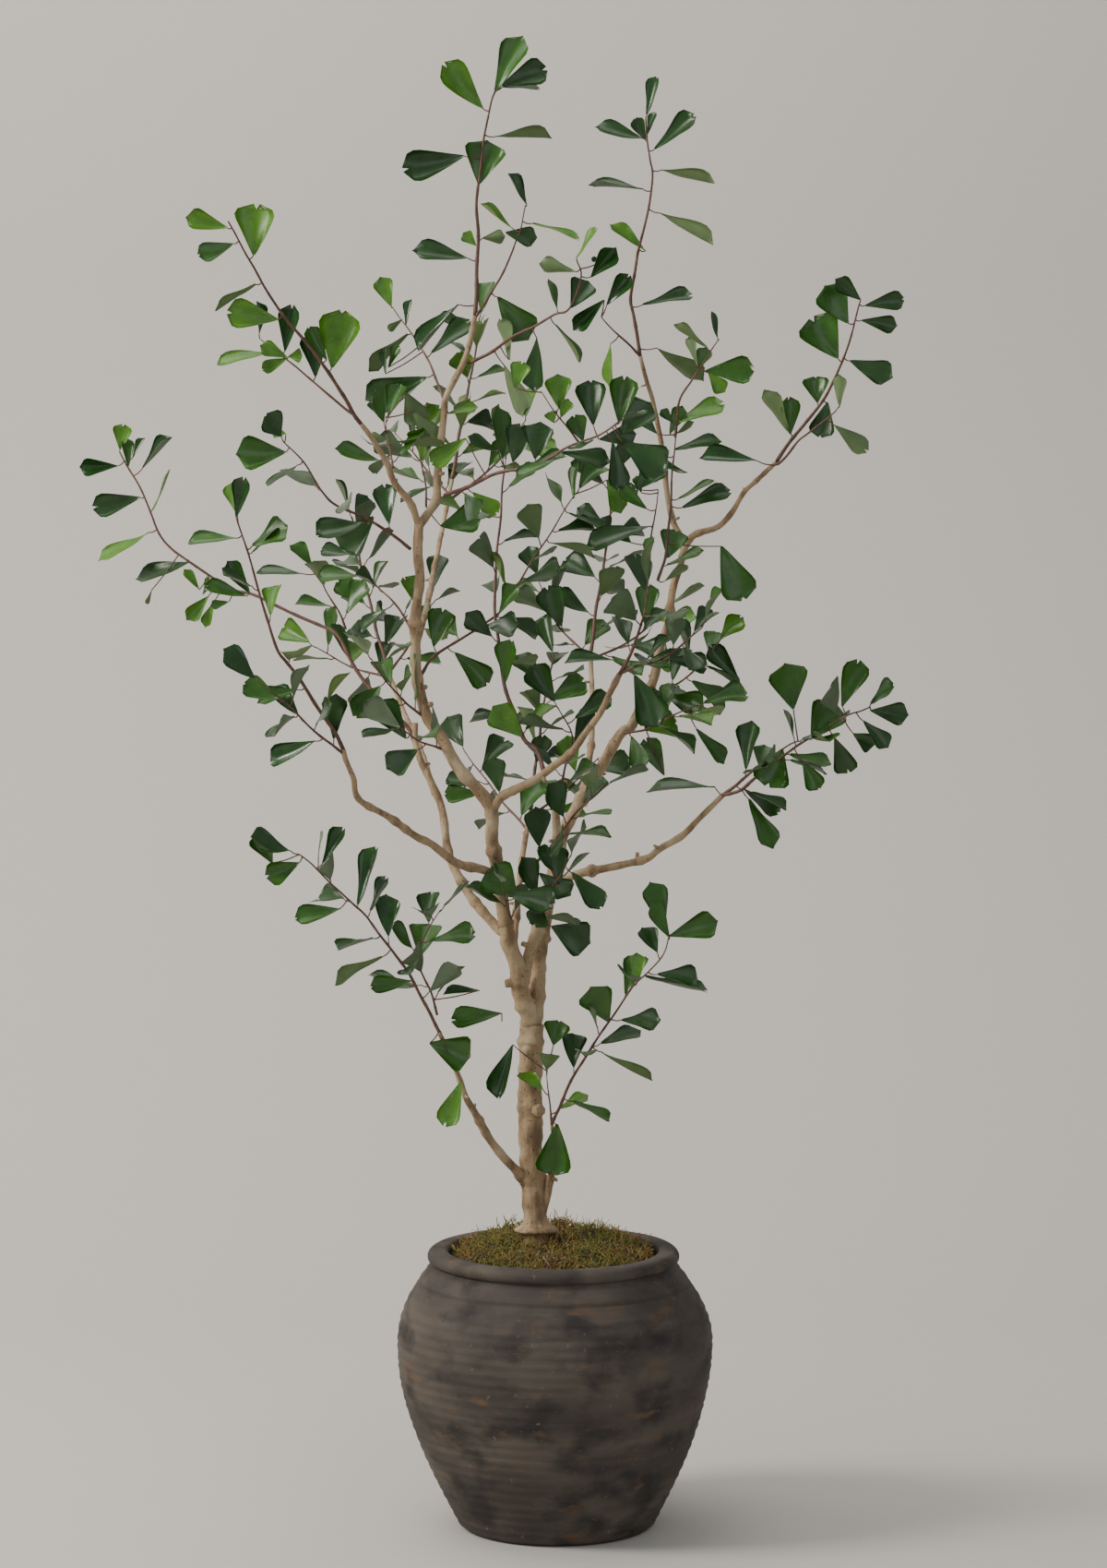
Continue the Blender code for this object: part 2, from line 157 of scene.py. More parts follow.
TWIG = mat("twig_red_brown", (0.125, 0.052, 0.030), 0.5, [(180, (0.055, 0.028, 0.018), 0.45, 0.65, ONE), (90, (0.22, 0.105, 0.06), 0.55, 0.75, ONE)], (500, 0.4, 0.0006, ONE))
CLAY = mat("weathered_clay", (0.060, 0.050, 0.043), 0.82, [(7, (0.100, 0.084, 0.068), 0.42, 0.62, (1, 1, 2.2)), (16, (0.034, 0.029, 0.027), 0.48, 0.66, (1, 1, 1.6)), (22, (0.125, 0.075, 0.042), 0.60, 0.76, (1, 1, 2.6)), (150, (0.15, 0.13, 0.105), 0.66, 0.78, ONE)], (60, 0.35, 0.002, (0.35, 0.35, 4)), 0.3)
SOIL = mat("dark_soil", (0.035, 0.023, 0.014), 0.95, [(200, (0.08, 0.055, 0.03), 0.5, 0.7, ONE)], (300, 0.8, 0.003, ONE))
MOSS = [
    mat("moss_" + k, c, 0.9, [(300, tuple(x * 0.55 for x in c), 0.45, 0.65, ONE)], (900, 0.4, 0.0005, ONE))
    for k, c in (("olive", (0.20, 0.19, 0.035)), ("gold", (0.32, 0.22, 0.06)), ("rust", (0.22, 0.10, 0.03)), ("straw", (0.38, 0.31, 0.19)), ("dark", (0.05, 0.038, 0.018)))
]


# ------------------------------------------------------------- mesh makers
class Heap:
    """Vertices, faces and material numbers gathered for one joined piece."""

    def __init__(self):
        self.v, self.f, self.m, self.n = [], [], [], 0

    def add(self, verts, faces, mats=0):
        self.v.append(np.asarray(verts, float))
        self.f += [tuple(i + self.n for i in f) for f in faces]
        self.m += list(mats) if hasattr(mats, "__len__") else [mats] * len(faces)
        self.n += len(verts)

    def piece(self, name, mats, slot, nodes=()):
        me = bpy.data.meshes.new(name)
        me.from_pydata(np.concatenate(self.v).tolist(), [], self.f)
        for m in mats:
            me.materials.append(m)
        me.polygons.foreach_set("material_index", self.m)
        me.shade_smooth()
        me.update()
        ob = bpy.data.objects.new(name, me)
        bpy.context.scene.collection.objects.link(ob)
        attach(ob, "root")
        if nodes:
            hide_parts(*nodes)
        return ob


def smooth_line(points, step):
    p = np.asarray(points, float)
    if len(p) < 3:
        n = max(2, int(np.linalg.norm(p[1] - p[0]) / step) + 1)
        return p[0] + (p[1] - p[0]) * np.linspace(0, 1, n)[:, None]
    q = np.vstack([2 * p[0] - p[1], p, 2 * p[-1] - p[-2]])
    out = []
    for i in range(1, len(q) - 2):
        a, b, c, d = q[i - 1 : i + 3]
        n = max(2, int(np.linalg.norm(c - b) / step))
        t = np.arange(n)[:, None] / n
        out.append(0.5 * (2 * b + (c - a) * t + (2 * a - 5 * b + 4 * c - d) * t**2 + (3 * b - a - 3 * c + d) * t**3))
    return np.vstack(out + [q[-2][None]])


def tube(heap, line, radii, sides, rough=0.0, seed=0.0, mat_no=0):
    line, n = np.asarray(line), len(line)
    t = np.gradient(line, axis=0)
    t /= np.linalg.norm(t, axis=1)[:, None]
    u = np.cross(t[0], (0.3, 1, 0.2)); u /= np.linalg.norm(u)
    ang = np.arange(sides) * 2 * math.pi / sides
    verts = []
    s = np.r_[0, np.cumsum(np.linalg.norm(np.diff(line, axis=0), axis=1))]
    for i in range(n):
        u = u - t[i] * (u @ t[i]); u /= np.linalg.norm(u)
        w = np.cross(t[i], u)
        k = 1 + rough * (np.sin(3 * ang + s[i] * 90 + seed) * 0.5 + np.sin(ang * 2 - s[i] * 230 + seed * 2) * 0.45 + np.sin(5 * ang + s[i] * 410) * 0.3 + 0.5 * math.sin(s[i] * 160 + seed))
        verts.append(line[i] + radii[i] * (np.cos(ang)[:, None] * u + np.sin(ang)[:, None] * w) * k[:, None])
    verts = np.vstack(verts + [line[:1], line[-1:]])
    faces = [(i * sides + j, i * sides + (j + 1) % sides, (i + 1) * sides + (j + 1) % sides, (i + 1) * sides + j) for i in range(n - 1) for j in range(sides)]
    faces += [(n * sides, (j + 1) % sides, j) for j in range(sides)]
    b = (n - 1) * sides
    faces += [(n * sides + 1, b + j, b + (j + 1) % sides) for j in range(sides)]
    heap.add(verts, faces, mat_no)


# Limbs as pixels and depths: (u, v, depth), then radii at base and tip.
THICK = [
    ([(582, 1377, 0), (581, 1345, 0), (580, 1310, 0), (575, 1228, 0), (575, 1149, 0), (577, 1110, 0)], 0.0150, 0.0142),
    ([(577, 1122, 0), (573, 1100, -.002), (565, 1075, -.006), (560, 1045, -.012), (552, 1022, -.018), (549, 998, -.022)], 0.0112, 0.0090),
    ([(577, 1122, 0), (581, 1091, .008), (583, 1053, .02), (586, 1025, .03), (592, 985, .045), (603, 930, .065), (615, 893, .08), (648, 837, .10), (673, 795, .125), (684, 787, .13), (700, 755, .14), (709, 734, .15), (716, 700, .165), (723, 680, .17), (730, 636, .18), (738, 611, .185), (742, 596, .19)], 0.0100, 0.0042),
    ([(565, 1072, -.006), (575, 1030, 0), (583, 1007, .005), (590, 984, .01), (600, 957, .015), (603, 900, .02), (603, 872, .022), (612, 845, .02)], 0.0080, 0.0040),
    ([(549, 1002, -.022), (545, 984, -.026), (539, 938, -.038), (533, 911, -.042), (531, 874, -.045), (498, 833, -.04), (479, 801, -.035), (463, 776, -.03), (455, 750, -.026), (452, 734, -.025), (450, 696, -.027), (450, 673, -.03), (453, 646, -.033), (455, 625, -.036), (453, 600, -.038), (454, 568, -.04)], 0.0084, 0.0056),
    ([(454, 570, -.04), (464, 556, -.035), (473, 541, -.03), (474, 520, -.025), (477, 487, -.015), (481, 453, -.005), (483, 432, 0), (493, 411, .005), (502, 394, .01), (508, 376, .015), (512, 357, .02), (515, 342, .02)], 0.0054, 0.0030),
    ([(454, 570, -.04), (445, 545, -.05), (428, 524, -.06), (420, 503, -.07), (412, 489, -.08), (401, 472, -.09), (391, 459, -.10)], 0.0044, 0.0028),
    ([(548, 1006, -.02), (543, 1009, -.015), (522, 986, 0), (506, 965, .01), (493, 942, .02), (485, 919, .03), (479, 876, .05), (467, 847, .06), (456, 824, .07), (450, 803, .08), (450, 784, .09)], 0.0062, 0.0036),
    ([(541, 950, -.035), (522, 942, -.05), (495, 935, -.06), (468, 915, -.075), (449, 905, -.09), (421, 885, -.105), (389, 866, -.13), (383, 843, -.14), (375, 824, -.15), (372, 812, -.152)], 0.0056, 0.0030),
    ([(533, 882, -.045), (543, 864, -.052), (562, 854, -.06), (583, 843, -.07), (600, 830, -.08), (619, 816, -.09), (634, 795, -.10), (650, 774, -.12), (660, 753, -.125), (672, 730, -.13)], 0.0054, 0.0034),
    ([(742, 600, .19), (737, 581, .192), (730, 566, .195), (724, 540, .198), (718, 490, .2), (714, 465, .2), (707, 432, .2), (701, 413, .2), (694, 386, .2)], 0.0042, 0.0024),
    ([(738, 604, .19), (748, 584, .182), (759, 577, .175), (778, 571, .165), (793, 556, .15), (806, 534, .135), (820, 521, .12), (842, 500, .10)], 0.0044, 0.0024),
    ([(600, 957, .015), (630, 946, .01), (656, 941, 0), (679, 936, -.015), (702, 930, -.03), (715, 920, -.038), (740, 905, -.05), (758, 887, -.062), (776, 869, -.075), (783, 862, -.08)], 0.0054, 0.0032),
    ([(572, 1290, 0), (563, 1272, -.01), (545, 1253, -.03), (530, 1233, -.05), (517, 1210, -.065), (505, 1189, -.08), (498, 1169, -.09), (488, 1145, -.10), (476, 1118, -.11)], 0.0062, 0.0026),
    ([(583, 1322, 0), (592, 1300, -.006), (597, 1275, -.012), (600, 1255, -.025), (600, 1235, -.035), (598, 1218, -.045)], 0.0060, 0.0020),
    ([(451, 700, -.027), (462, 660, .06), (470, 620, .14), (480, 570, .22), (490, 520, .27)], 0.0042, 0.0026),
    ([(556, 1035, -.012), (560, 985, .07), (566, 930, .15), (575, 880, .22)], 0.0050, 0.0030),
    ([(471, 860, .057), (455, 810, .14), (435, 765, .21), (420, 725, .26)], 0.0040, 0.0026),
    ([(630, 865, .09), (640, 815, .17), (642, 760, .24), (640, 710, .30)], 0.0044, 0.0028),
]
# Shoots: (pixel path with depths), base radius, leaves dealt along it by rule
# (0 where the leaves are placed one by one below), colour leaning: a painted light-and-shade tint, bright on the lit
# left and dark on the shaded right.
SHOOTS = [
    ([(515, 342, .02), (518, 269, .03), (517, 221, .03), (522, 169, .03), (527, 139, .03), (532, 110, .03), (537, 98, .03)], .0028, 0, "d"),
    ([(515, 345, .02), (530, 320, .01), (545, 297, 0), (553, 278, -.01), (559, 261, -.02), (565, 247, -.03), (570, 222, -.035)], .0018, 0, "u"),
    ([(694, 386, .2), (690, 363, .2), (687, 340, .2), (684, 324, .2), (687, 299, .19), (691, 276, .19), (696, 257, .18), (703, 223, .18), (708, 190, .175), (705, 173, .17), (701, 152, .168), (700, 128, .166)], .0024, 0, "d"),
    ([(391, 459, -.1), (383, 449, -.105), (373, 430, -.11), (360, 408, -.12), (348, 393, -.13), (322, 359, -.14), (300, 332, -.15), (287, 313, -.16), (276, 290, -.17), (262, 267, -.18), (247, 240, -.19)], .0026, 0, "y"),
    ([(383, 449, -.105), (371, 441, -.1), (346, 418, -.095), (327, 403, -.09), (306, 387, -.085), (282, 366, -.08)], .0018, 0, "y"),
    ([(842, 500, .1), (856, 478, .09), (872, 460, .08), (890, 437, .07), (904, 412, .06), (915, 387, .05), (926, 351, .03), (933, 326, .02)], .0024, 0, "d"),
    ([(838, 504, .1), (847, 500, .09), (865, 478, .07), (877, 469, .06), (901, 450, .04), (909, 441, .03)], .0018, 0, "d"),
    ([(450, 805, .08), (438, 784, .09), (396, 741, .12), (368, 692, .145), (345, 677, .16), (294, 654, .18), (273, 644, .19), (250, 638, .2), (229, 625, .205), (204, 608, .21), (185, 594, .215), (173, 579, .22), (164, 556, .222), (150, 526, .23), (139, 506, .235), (130, 489, .24)], .0028, 0, "u"),
    ([(372, 812, -.152), (360, 789, -.16), (337, 755, -.17), (312, 719, -.18), (301, 703, -.185), (287, 665, -.19), (278, 629, -.2), (265, 589, -.21), (257, 562, -.22)], .0026, 7, "u"),
    ([(371, 816, -.152), (347, 797, -.17), (312, 764, -.2), (295, 751, -.215), (287, 743, -.22)], .0018, 9, "g"),
    ([(445, 595, -.04), (406, 566, -.06), (366, 549, -.09), (349, 531, -.1), (330, 503, -.115), (309, 480, -.13)], .0022, 6, "g"),
    ([(508, 394, .012), (531, 382, 0), (556, 365, -.03), (579, 354, -.05), (602, 340, -.07), (617, 334, -.08), (630, 300, -.10), (626, 282, -.11)], .0022, 0, "d"),
    ([(482, 537, -.03), (510, 526, -.06), (536, 514, -.09), (567, 507, -.11), (594, 497, -.13), (613, 486, -.145), (632, 478, -.155), (651, 470, -.17), (672, 456, -.18)], .0026, 4, "d"),
    ([(628, 480, -.15), (606, 452, -.15), (588, 425, -.15)], .0014, 0, "y"),
    ([(481, 432, 0), (473, 413, .02), (466, 392, .04), (449, 367, .06), (435, 346, .08), (426, 332, .09)], .0018, 0, "g"),
    ([(426, 507, -.06), (421, 480, -.03), (418, 453, 0)], .0014, 4, "p"),
    ([(462, 549, -.03), (460, 515, 0), (452, 482, .03)], .0014, 4, "y"),
    ([(694, 386, .2), (671, 363, .18), (652, 344, .16)], .0018, 0, "g"),
    ([(732, 474, .17), (736, 436, .16), (751, 411, .15), (772, 378, .13), (780, 367, .12)], .0018, 0, "u"),
    ([(703, 625, .1), (705, 589, .1), (710, 560, .09), (713, 531, .08)], .0016, 0, "d"),
    ([(713, 629, .13), (722, 598, .14), (726, 560, .15), (728, 524, .155), (731, 490, .16), (732, 460, .165)], .0020, 0, "d"),
    ([(458, 776, -.03), (442, 764, -.04), (431, 751, -.05), (414, 732, -.06), (402, 715, -.07)], .0018, 7, "g"),
    ([(479, 812, -.036), (456, 803, -.08), (433, 789, -.12)], .0016, 5, "g"),
    ([(445, 680, -.03), (425, 650, -.02), (408, 634, 0), (393, 615, .03)], .0016, 6, "d"),
    ([(375, 682, .14), (368, 665, .14), (356, 644, .14), (345, 621, .14)], .0016, 4, "u"),
    ([(672, 730, -.13), (679, 717, -.14), (690, 692, -.15), (698, 667, -.17), (702, 640, -.18)], .0024, 8, "d"),
    ([(672, 730, -.13), (694, 720, -.15), (713, 715, -.165), (732, 705, -.18), (744, 694, -.19), (761, 680, -.2)], .0020, 8, "d"),
    ([(590, 838, -.073), (581, 812, -.05), (569, 801, -.04), (558, 775, -.02), (549, 751, -.01), (543, 713, .012), (539, 686, .03), (536, 642, .05), (539, 600, .06), (544, 539, .08), (547, 508, .09)], .0030, 12, "u"),
    ([(456, 733, -.025), (470, 711, -.01), (504, 690, .02), (522, 678, .03), (546, 659, .05), (564, 629, .07), (582, 600, .08), (600, 572, .1), (624, 535, .12)], .0020, 11, "u"),
    ([(567, 955, -.03), (583, 932, -.05), (596, 919, -.06), (612, 897, -.08), (625, 880, -.09), (655, 850, -.1)], .0020, 9, "d"),
    ([(575, 1000, -.02), (590, 975, -.06), (606, 950, -.09), (620, 925, -.11)], .0018, 7, "d"),
    ([(555, 1000, -.02), (548, 975, -.05), (545, 955, -.08)], .0016, 4, "d"),
    ([(783, 862, -.08), (795, 853, -.085), (811, 839, -.1), (851, 810, -.12), (865, 803, -.13)], .0022, 5, "d"),
    ([(783, 862, -.08), (801, 857, -.09), (817, 844, -.1), (856, 814, -.13), (872, 803, -.14), (913, 778, -.16), (933, 771, -.17), (944, 766, -.175)], .0022, 10, "d"),
    ([(476, 1118, -.11), (470, 1107, -.112), (459, 1084, -.12), (446, 1059, -.13), (430, 1038, -.14), (417, 1019, -.145), (398, 994, -.155), (382, 980, -.16), (367, 965, -.165), (340, 938, -.175), (324, 926, -.18)], .0022, 10, "g"),
    ([(474, 1100, -.11), (467, 1076, -.105), (459, 1057, -.1), (452, 1036, -.1), (462, 1010, -.1), (478, 985, -.1)], .0016, 9, "d"),
    ([(598, 1218, -.045), (595, 1190, -.05), (593, 1160, -.055)], .0014, 3, "u"),
    ([(598, 1218, -.045), (606, 1200, -.055), (621, 1168, -.07), (640, 1137, -.085), (660, 1107, -.1), (686, 1070, -.12), (702, 1053, -.13), (719, 1034, -.138), (726, 1014, -.142)], .0020, 11, "d"),
    ([(700, 755, .14), (735, 740, .13), (760, 720, .12), (775, 700, .11)], .0018, 8, "u"),
    ([(673, 795, .125), (700, 790, .1), (730, 775, .09), (755, 765, .08)], .0018, 8, "u"),
    ([(603, 872, .022), (612, 835, .0), (620, 800, -.02), (605, 765, -.03)], .0018, 7, "d"),
    ([(490, 520, .27), (500, 460, .3), (512, 400, .33), (520, 345, .34)], .0026, 14, "u"),
    ([(490, 540, .26), (455, 500, .32), (430, 470, .35)], .0018, 8, "d"),
    ([(490, 540, .26), (540, 500, .3), (570, 455, .33)], .0018, 8, "u"),
    ([(575, 880, .22), (582, 820, .27), (590, 760, .3), (600, 712, .32)], .0026, 13, "d"),
    ([(575, 885, .22), (620, 850, .27), (650, 820, .3)], .0018, 8, "u"),
    ([(572, 900, .2), (530, 850, .26), (505, 815, .29)], .0018, 8, "d"),
    ([(420, 725, .26), (405, 670, .3), (392, 615, .33), (382, 560, .34)], .0026, 13, "d"),
    ([(422, 735, .255), (375, 720, .3), (340, 700, .32)], .0018, 7, "u"),
    ([(425, 725, .26), (455, 680, .31), (470, 640, .34)], .0018, 7, "u"),
    ([(640, 710, .3), (648, 650, .33), (658, 590, .36), (665, 515, .37)], .0026, 14, "d"),
    ([(640, 715, .295), (690, 690, .33), (725, 655, .35)], .0018, 8, "u"),
    ([(640, 715, .295), (600, 670, .34), (585, 630, .36)], .0018, 8, "d"),
]
# Leaves read one by one: blade foot, blade end, width, colour (a painted light-and-shade tint; p: its
# underside is seen). Pixels; the depth comes from the shoot that bears it.
LEAVES = [
    (523, 117, 480, 70, 38, "y"), (537, 99, 566, 38, 34, "u"), (544, 92, 592, 74, 34, "d"), (545, 94, 585, 96, 11, "d"), (537, 148, 598, 147, 9, "p"),
    (503, 169, 437, 185, 40, "d"), (519, 199, 528, 152, 50, "u"), (571, 222, 550, 188, 18, "g"), (555, 247, 520, 222, 13, "y"), (578, 242, 628, 256, 11, "y"),
    (548, 252, 582, 258, 24, "d"), (523, 258, 548, 256, 18, "p"), (516, 266, 502, 252, 16, "y"), (508, 280, 447, 270, 27, "d"),
    (701, 124, 714, 84, 20, "g"), (697, 150, 645, 138, 26, "d"), (700, 152, 688, 128, 18, "d"), (702, 145, 709, 121, 12, "d"), (710, 161, 755, 127, 26, "d"),
    (697, 205, 639, 199, 10, "d"), (717, 184, 774, 198, 14, "p"), (716, 231, 772, 266, 17, "p"), (700, 272, 661, 243, 17, "y"), (625, 279, 648, 248, 8, "y"),
    (623, 294, 584, 286, 16, "p"), (641, 300, 668, 268, 30, "g"), (658, 330, 682, 298, 26, "g"), (655, 325, 621, 358, 26, "g"), (652, 283, 641, 280, 7, "d"),
    (619, 333, 638, 304, 36, "d"), (604, 335, 596, 301, 12, "u"), (697, 330, 750, 322, 16, "d"), (602, 352, 631, 391, 8, "u"), (662, 372, 656, 418, 11, "y"),
    (247, 247, 201, 236, 27, "y"), (275, 276, 279, 222, 48, "y"), (253, 264, 215, 277, 24, "u"), (277, 308, 233, 337, 8, "p"), (301, 346, 247, 338, 36, "y"),
    (281, 362, 278, 326, 11, "g"), (309, 380, 316, 331, 28, "g"), (311, 387, 282, 374, 20, "y"), (312, 388, 284, 400, 16, "y"), (313, 386, 328, 386, 18, "y"),
    (293, 382, 236, 391, 16, "y"), (360, 398, 371, 337, 50, "y"), (342, 408, 341, 360, 34, "g"), (354, 390, 334, 355, 22, "u"),
    (424, 332, 412, 300, 24, "y"), (442, 362, 397, 400, 10, "p"), (418, 405, 419, 378, 9, "g"), (421, 398, 433, 374, 12, "u"), (436, 346, 421, 358, 9, "p"),
    (440, 352, 446, 324, 12, "g"), (497, 330, 454, 380, 15, "g"), (468, 382, 510, 348, 24, "d"), (462, 409, 396, 436, 44, "d"), (440, 425, 456, 462, 34, "p"),
    (447, 445, 475, 480, 30, "p"), (420, 476, 400, 472, 10, "p"), (470, 462, 462, 436, 14, "p"), (486, 448, 518, 440, 13, "y"), (428, 478, 486, 485, 13, "p"),
    (505, 475, 468, 502, 26, "y"), (411, 499, 362, 488, 24, "u"), (540, 489, 506, 474, 18, "d"), (540, 322, 574, 368, 44, "u"), (552, 390, 546, 345, 14, "p"),
    (546, 395, 567, 452, 26, "p"), (582, 366, 580, 425, 26, "d"), (558, 420, 566, 392, 24, "y"), (545, 498, 540, 440, 26, "u"), (556, 500, 566, 460, 34, "d"),
    (580, 497, 585, 457, 36, "d"), (606, 442, 604, 405, 32, "y"), (608, 452, 616, 432, 18, "y"), (600, 458, 596, 446, 16, "y"), (643, 460, 640, 412, 38, "d"),
    (671, 458, 677, 408, 36, "u"), (632, 478, 622, 450, 26, "u"), (650, 476, 690, 470, 26, "d"), (610, 490, 662, 500, 24, "d"), (672, 470, 705, 435, 40, "d"),
    (664, 480, 672, 530, 26, "d"), (676, 480, 724, 510, 44, "d"), (690, 530, 715, 500, 34, "d"), (724, 495, 700, 520, 24, "d"), (745, 512, 696, 498, 14, "d"),
    (658, 520, 674, 556, 24, "y"), (702, 552, 672, 530, 18, "u"), (695, 534, 690, 515, 14, "u"), (706, 570, 636, 590, 22, "d"), (684, 588, 672, 578, 14, "u"),
    (724, 604, 733, 574, 36, "u"), (736, 540, 775, 522, 13, "u"), (740, 550, 791, 530, 24, "d"), (732, 487, 782, 476, 20, "d"), (820, 499, 758, 496, 26, "g"),
    (730, 458, 716, 444, 14, "d"), (732, 458, 784, 436, 22, "y"), (733, 470, 753, 458, 10, "p"), (726, 470, 740, 440, 20, "u"), (712, 377, 762, 416, 20, "p"),
    (766, 376, 729, 354, 11, "p"), (778, 367, 770, 338, 11, "d"), (757, 400, 766, 376, 20, "u"), (765, 402, 817, 400, 34, "u"), (768, 404, 786, 425, 22, "y"),
    (756, 395, 744, 366, 12, "p"), (723, 612, 764, 598, 12, "u"), (720, 630, 745, 612, 10, "p"), (782, 592, 806, 650, 44, "u"), (617, 556, 658, 573, 10, "d"),
    (622, 540, 622, 502, 13, "u"), (596, 588, 646, 601, 7, "p"), (602, 498, 560, 516, 18, "u"), (712, 470, 690, 446, 20, "d"),
    (933, 325, 905, 302, 24, "d"), (919, 350, 893, 310, 44, "u"), (908, 388, 880, 345, 54, "u"), (938, 331, 980, 324, 24, "d"), (934, 347, 973, 353, 23, "d"),
    (922, 391, 968, 410, 32, "d"), (910, 440, 909, 405, 17, "p"), (886, 436, 884, 408, 34, "u"), (897, 436, 889, 474, 32, "d"), (857, 470, 827, 423, 16, "p"),
    (857, 470, 856, 431, 26, "u"), (905, 461, 940, 489, 23, "p"),
    (127, 505, 86, 506, 26, "g"), (130, 487, 134, 460, 24, "y"), (139, 506, 138, 475, 16, "u"), (144, 496, 156, 474, 10, "g"), (155, 507, 187, 474, 12, "g"),
    (165, 553, 187, 510, 9, "y"), (152, 539, 101, 550, 30, "d"), (161, 577, 108, 610, 14, "y"), (206, 609, 146, 627, 26, "d"), (256, 583, 204, 588, 16, "u"),
    (216, 639, 200, 616, 11, "y"), (220, 644, 228, 626, 8, "u"), (271, 643, 246, 608, 26, "g"), (268, 646, 222, 636, 20, "u"), (226, 646, 202, 672, 22, "y"),
    (248, 652, 228, 656, 12, "u"), (232, 652, 222, 680, 14, "y"), (256, 560, 266, 517, 24, "g"), (309, 490, 256, 492, 42, "u"), (274, 598, 306, 570, 10, "d"),
    (330, 622, 278, 618, 11, "d"), (310, 470, 296, 468, 14, "y"), (164, 640, 160, 655, 5, "p"),
    (295, 935, 280, 903, 30, "u"), (324, 935, 289, 950, 30, "u"), (350, 935, 374, 898, 22, "g"), (388, 980, 412, 920, 26, "g"), (368, 985, 320, 994, 26, "u"),
    (414, 1037, 362, 1066, 14, "p"), (446, 1063, 402, 1070, 24, "u"), (466, 1130, 510, 1145, 46, "u"), (500, 1172, 482, 1220, 28, "y"), (544, 1098, 490, 1106, 24, "u"),
    (556, 1132, 540, 1190, 30, "g"), (604, 1218, 600, 1272, 46, "u"), (652, 1140, 705, 1175, 14, "p"), (660, 1107, 640, 1068, 42, "u"), (726, 1016, 705, 978, 22, "u"),
    (726, 1014, 778, 998, 34, "u"), (700, 1058, 765, 1078, 12, "d"), (690, 1066, 690, 1032, 22, "y"), (600, 1132, 606, 1106, 34, "u"), (520, 1073, 480, 1076, 12, "d"),
    (598, 1004, 640, 1022, 44, "d"), (560, 972, 530, 942, 48, "u"), (606, 958, 602, 915, 30, "d"), (812, 866, 838, 920, 24, "u"), (775, 853, 700, 853, 10, "d"),
    (848, 812, 832, 852, 46, "u"), (860, 768, 850, 718, 48, "u"), (880, 800, 905, 760, 46, "u"), (913, 765, 930, 715, 34, "u"), (944, 770, 985, 775, 28, "d"),
    (925, 795, 948, 808, 26, "d"), (870, 825, 888, 855, 26, "u"), (905, 800, 920, 838, 30, "d"), (566, 798, 534, 765, 38, "y"), (470, 700, 480, 660, 36, "u"),
    (520, 860, 482, 860, 24, "u"), (440, 800, 412, 760, 34, "d"), (405, 560, 368, 596, 44, "d"), (478, 570, 520, 560, 38, "u"), (800, 735, 770, 700, 28, "d"),
    (700, 790, 706, 745, 32, "d"), (664, 715, 612, 716, 16, "g"), (720, 840, 700, 800, 28, "u"), (755, 790, 785, 828, 24, "u"),
]

bark, twigs = Heap(), Heap()
for no, (path, first, last) in enumerate(THICK):
    line = smooth_line([at(*p) for p in path], 0.0035)
    if no == 0:
        line[0, 2] = max(line[0, 2], 0.3153)
    t = np.linspace(0, 1, len(line))
    r = first + (last - first) * t
    if no == 0:
        r = r * (1 + 0.28 * np.exp(-t / 0.07))
    for knot in range(3 + len(line) // 16):
        spot = rng.uniform(0.05, 0.97)
        r = r * (1 + rng.uniform(0.08, 0.30) * np.exp(-(((t - spot) * len(line) * 0.0035) / 0.0045) ** 2))
    tube(bark, line, r, 20 if first > 0.007 else 14, 0.075 if first > 0.007 else 0.06, no * 1.7)
    # pruned stubs
    for _ in range(1 + (len(line) > 60)):
        k = int(rng.uniform(0.15, 0.9) * len(line))
        way = np.cross(line[min(k + 1, len(line) - 1)] - line[k - 1], rng.normal(size=3)); way /= np.linalg.norm(way)
        tube(bark, [line[k], line[k] + way * (r[k] + 0.003), line[k] + way * (r[k] + 0.006)], [r[k] * 0.55, r[k] * 0.5, r[k] * 0.42], 8, 0.05, no)

lines = []
for path, first, count, lean in SHOOTS:
    line = smooth_line([at(*p) for p in path], 0.004)
    k = np.arange(len(line))
    line = line + (np.sin(k / 3.1)[:, None] * RIGHT + np.cos(k / 3.7)[:, None] * UP) * 0.0007 * np.minimum(1, k / 6)[:, None]
    lines.append(line)
    t = np.linspace(0, 1, len(line))
    r = first * (1 - 0.62 * t) * (1 + 0.16 * np.maximum(0, np.sin(k * 0.9)) ** 6)
    tube(twigs, line, r, 8, 0.05, first * 999)

# ------------------------------------------------------------------ leaves
NU, NV = 9, 6
heaps = {key: Heap() for key in LEAF_LIGHT_SHADE_TINTS}


def blade_width(u):
    """Half-width along the blade: a wedge that rounds off into a broad end."""
    rise = (u / 0.74) ** 0.95 if u < 0.74 else math.sqrt(max(0.0, 1 - ((u - 0.74) / 0.262) ** 2.6))
    return 0.06 * (1 - u) + rise * 0.94


